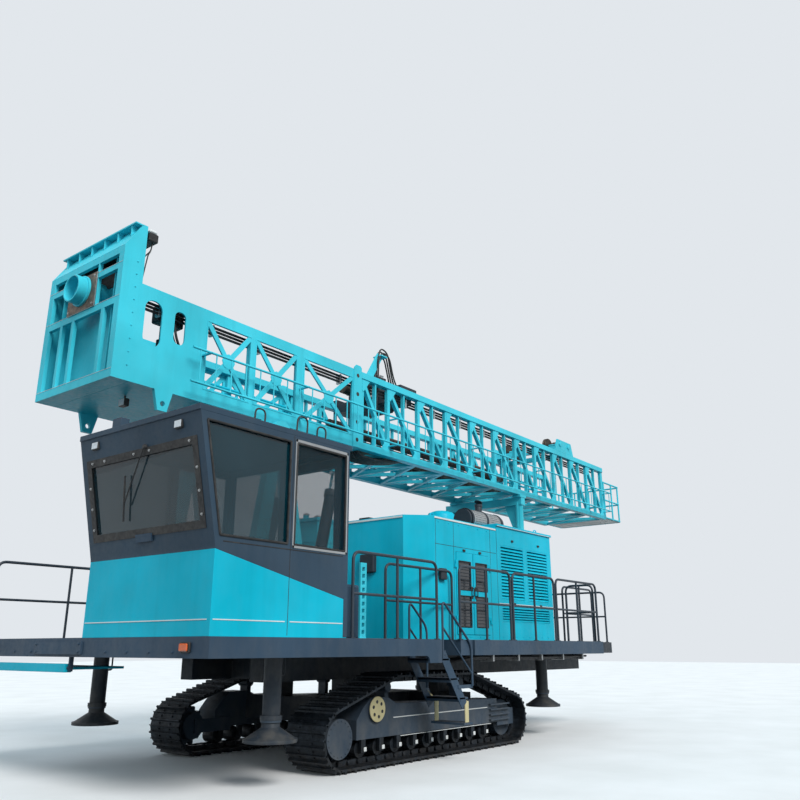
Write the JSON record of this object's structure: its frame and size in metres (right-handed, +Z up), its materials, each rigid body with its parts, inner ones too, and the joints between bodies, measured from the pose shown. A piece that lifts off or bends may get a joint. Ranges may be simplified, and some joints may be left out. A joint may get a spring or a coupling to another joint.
{
  "type": "down-the-hole drilling rig",
  "caption": "Crawler-mounted down-the-hole drilling rig with a lowered lattice mast, cab, power-pack housing, railed deck and levelling jacks.",
  "frame": {"origin": "centre of the bounding box's base, on the ground under the machine", "axes": "+X towards the drill end and the cab's windscreen, +Y to the cab's side, +Z up"},
  "size_m": [17.79, 5, 7.57],
  "materials": {
    "mast_paint": "satin",
    "house_paint": "satin",
    "grey_paint": "satin",
    "rail_paint": "satin",
    "frame_dark": "matt",
    "track_steel": "worn",
    "rod_chrome": "bright",
    "barrel_paint": "satin",
    "drill_steel": "worn",
    "glass": "clear",
    "seat_fabric": "matt",
    "console_plastic": "matt"
  },
  "bodies": {
    "chassis": {"deck": "grey_paint", "main_frame": "frame_dark", "undercarriage": "frame_dark", "track_near": "track_steel", "track_far": "track_steel", "track_frame_near": "frame_dark", "track_frame_far": "frame_dark", "rollers_near": "track_steel", "rollers_far": "track_steel", "track_wheels_near": "frame_dark", "track_wheels_far": "frame_dark", "handrails_near": "rail_paint", "handrails_far": "rail_paint", "cab_lower": "house_paint", "cab_upper": "grey_paint", "cab_roof": "grey_paint", "cab_glass": "glass", "cab_seat": "seat_fabric", "cab_console": "console_plastic", "house_front": "house_paint", "house_rear": "house_paint", "louvres": "grey_paint", "engine_block": "frame_dark", "exhaust": "frame_dark", "stair": "grey_paint", "a_frame": "mast_paint", "mast_rest": "mast_paint", "jack_casings": "frame_dark", "dust_collector": "mast_paint", "oil_tank": "grey_paint", "slotted_post": "mast_paint"},
    "mast": {"mast_lower_near": "mast_paint", "mast_lower_far": "mast_paint", "mast_lower_back": "mast_paint", "mast_upper_near": "mast_paint", "mast_upper_far": "mast_paint", "mast_upper_back": "mast_paint", "mast_base": "mast_paint", "mast_crown": "mast_paint", "crown_basket": "mast_paint", "mast_ladder": "mast_paint", "mast_pipes": "barrel_paint"},
    "power_head": {"power_head": "barrel_paint"},
    "spindle": {"spindle": "drill_steel"},
    "pipe_carousel": {"pipe_carousel": "drill_steel"},
    "lift_barrels": {"lift_barrels": "barrel_paint"},
    "lift_rods": {"lift_rods": "rod_chrome"},
    "cab_door": {"cab_door": "grey_paint", "cab_door_glass": "glass"},
    "house_door_front": {"house_door_front": "house_paint"},
    "house_door_rear": {"house_door_rear": "house_paint"},
    "dust_curtain": {"dust_curtain": "house_paint"},
    "jack_leg_front_near": {"jack_leg_front_near": "rod_chrome"},
    "jack_leg_front_far": {"jack_leg_front_far": "rod_chrome"},
    "jack_leg_rear_near": {"jack_leg_rear_near": "rod_chrome"},
    "jack_leg_rear_far": {"jack_leg_rear_far": "rod_chrome"}
  },
  "joints": [
    {"name": "mast_raise", "type": "hinge", "parent": "chassis", "child": "mast", "pos_m": [5.335, -1.15, 4.95], "axis": [0, 1, 0], "range_deg": [0, 90]},
    {"name": "head_feed", "type": "slide", "parent": "mast", "child": "power_head", "axis": [1, 0, 0], "range_m": [-5, 4.6]},
    {"name": "spindle_turn", "type": "hinge", "parent": "power_head", "child": "spindle", "pos_m": [1.655, -1.15, 6.66], "axis": [1, 0, 0], "continuous": true},
    {"name": "carousel_turn", "type": "hinge", "parent": "mast", "child": "pipe_carousel", "pos_m": [1.655, -1.48, 5.72], "axis": [1, 0, 0], "continuous": true},
    {"name": "lift_swing", "type": "hinge", "parent": "chassis", "child": "lift_barrels", "pos_m": [4.135, -1.15, 1.95], "axis": [0, 1, 0], "range_deg": [-1, 25]},
    {"name": "lift_stroke", "type": "slide", "parent": "lift_barrels", "child": "lift_rods", "axis": [-0.2132, 0, 0.977], "range_m": [-0.02, 2.1]},
    {"name": "cab_door_swing", "type": "hinge", "parent": "chassis", "child": "cab_door", "pos_m": [6.417, 2.404, 2], "axis": [0, 0, -1], "range_deg": [0, 85]},
    {"name": "house_door_front_swing", "type": "hinge", "parent": "chassis", "child": "house_door_front", "pos_m": [2.877, 1.736, 2], "axis": [0, 0, -1], "range_deg": [0, 100]},
    {"name": "house_door_rear_swing", "type": "hinge", "parent": "chassis", "child": "house_door_rear", "pos_m": [1.813, 1.736, 2], "axis": [0, 0, 1], "range_deg": [0, 100]},
    {"name": "curtain_drop", "type": "hinge", "parent": "chassis", "child": "dust_curtain", "pos_m": [8.505, -1.32, 1.33], "axis": [0, -1, 0], "range_deg": [0, 90]},
    {"name": "jack_front_near", "type": "slide", "parent": "chassis", "child": "jack_leg_front_near", "axis": [0, 0, -1], "range_m": [0, 0.75]},
    {"name": "jack_front_far", "type": "slide", "parent": "chassis", "child": "jack_leg_front_far", "axis": [0, 0, -1], "range_m": [0, 0.75]},
    {"name": "jack_rear_near", "type": "slide", "parent": "chassis", "child": "jack_leg_rear_near", "axis": [0, 0, -1], "range_m": [0, 0.75]},
    {"name": "jack_rear_far", "type": "slide", "parent": "chassis", "child": "jack_leg_rear_far", "axis": [0, 0, -1], "range_m": [0, 0.75]}
  ],
  "couplings": [
    {"joint": "lift_swing", "follows": "mast_raise", "ratio": 0.26115},
    {"joint": "lift_stroke", "follows": "mast_raise", "m_per_rad": 1.3232}
  ]
}
